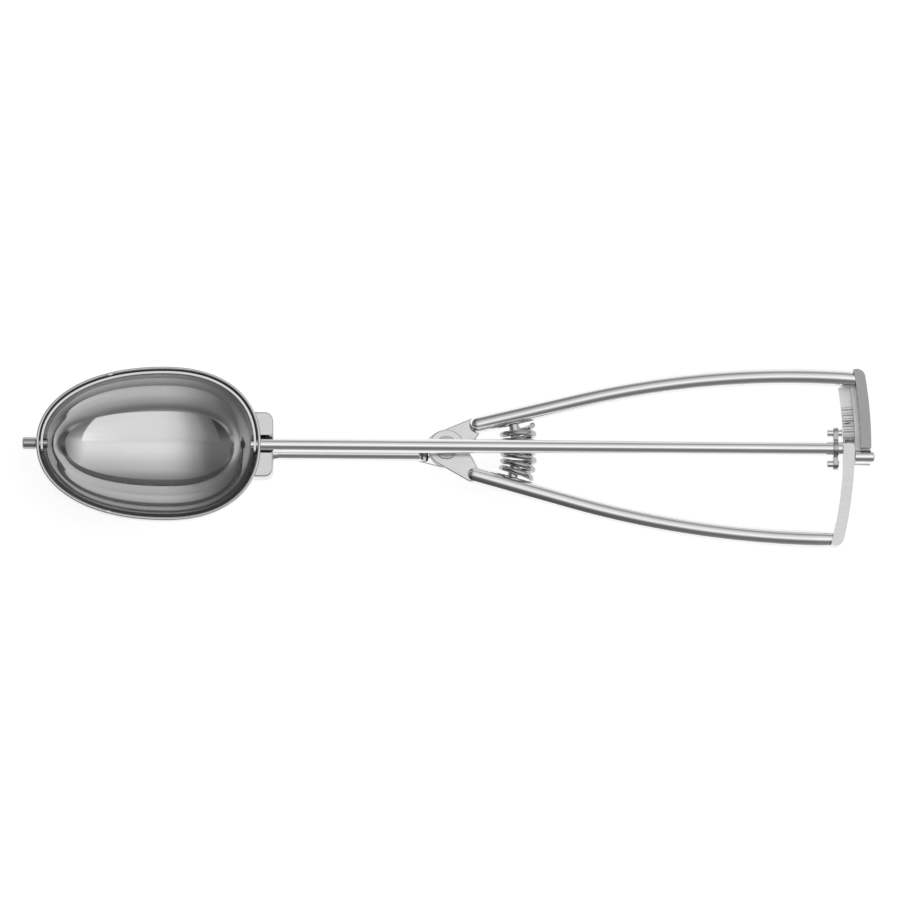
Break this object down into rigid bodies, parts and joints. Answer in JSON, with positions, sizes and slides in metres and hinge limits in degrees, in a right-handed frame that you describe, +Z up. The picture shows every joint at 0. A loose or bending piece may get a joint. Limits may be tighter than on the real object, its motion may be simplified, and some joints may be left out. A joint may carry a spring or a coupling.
{
  "type": "lever ice cream scoop",
  "caption": "Oval metal ice cream scoop whose two squeeze handles drive a rack and pinion that sweeps a thin wiper band through the bowl.",
  "frame": {"origin": "middle of the footprint, level with the lowest point of the bowl", "axes": "+X along the drive rod from the bowl to the grip, +Y across the handles towards the upper handle, +Z up out of the bowl's mouth"},
  "size_m": [0.243, 0.0516, 0.0279],
  "materials": {
    "bowl_steel": "polished inside, fine satin outside",
    "wiper_steel": "polished",
    "bar_steel": "polished round bar",
    "pressed_steel": "pressed sheet, satin",
    "rivet_steel": "turned, bright",
    "gear_steel": "cut teeth, duller",
    "spring_steel": "bright spring wire"
  },
  "bodies": {
    "frame": {"bowl": "bowl_steel", "bracket": "pressed_steel", "shank": "bar_steel", "pivot_rivet": "rivet_steel", "pivot_washer_top": "pressed_steel", "pivot_washer_bottom": "pressed_steel"},
    "wiper_drive": {"wiper": "wiper_steel", "front_pin": "rivet_steel", "drive_rod": "bar_steel", "pinion": "gear_steel", "stop_arm": "pressed_steel", "stop_stud_long": "rivet_steel", "stop_stud_short": "rivet_steel"},
    "upper_grip": {"upper_handle": "bar_steel", "upper_rack_arm": "pressed_steel", "guide_stud": "bar_steel", "spring_peg_upper": "rivet_steel"},
    "lower_grip": {"lower_handle": "bar_steel", "lower_rack_arm": "pressed_steel", "spring_peg_lower": "rivet_steel", "spring": "spring_steel"}
  },
  "joints": [
    {"name": "lower_handle_squeeze", "type": "hinge", "parent": "frame", "child": "lower_grip", "pos_m": [-0.0007, 0.00264, 0.0169], "axis": [0, 0, 1], "range_deg": [0, 4.7], "stiffness_Nm_per_rad": 3, "springref_deg": -5.73, "deforming": ["spring"]},
    {"name": "upper_handle_squeeze", "type": "hinge", "parent": "frame", "child": "upper_grip", "pos_m": [-0.0007, 0.00264, 0.0169], "axis": [0, 0, 1], "range_deg": [-4.8, 0]},
    {"name": "wiper_sweep", "type": "hinge", "parent": "frame", "child": "wiper_drive", "pos_m": [-0.0007, 0.00264, 0.0221], "axis": [1, 0, 0], "range_deg": [-180, 0]}
  ],
  "couplings": [
    {"joint": "upper_handle_squeeze", "follows": "lower_handle_squeeze", "ratio": -1},
    {"joint": "wiper_sweep", "follows": "lower_handle_squeeze", "ratio": -38.267}
  ]
}
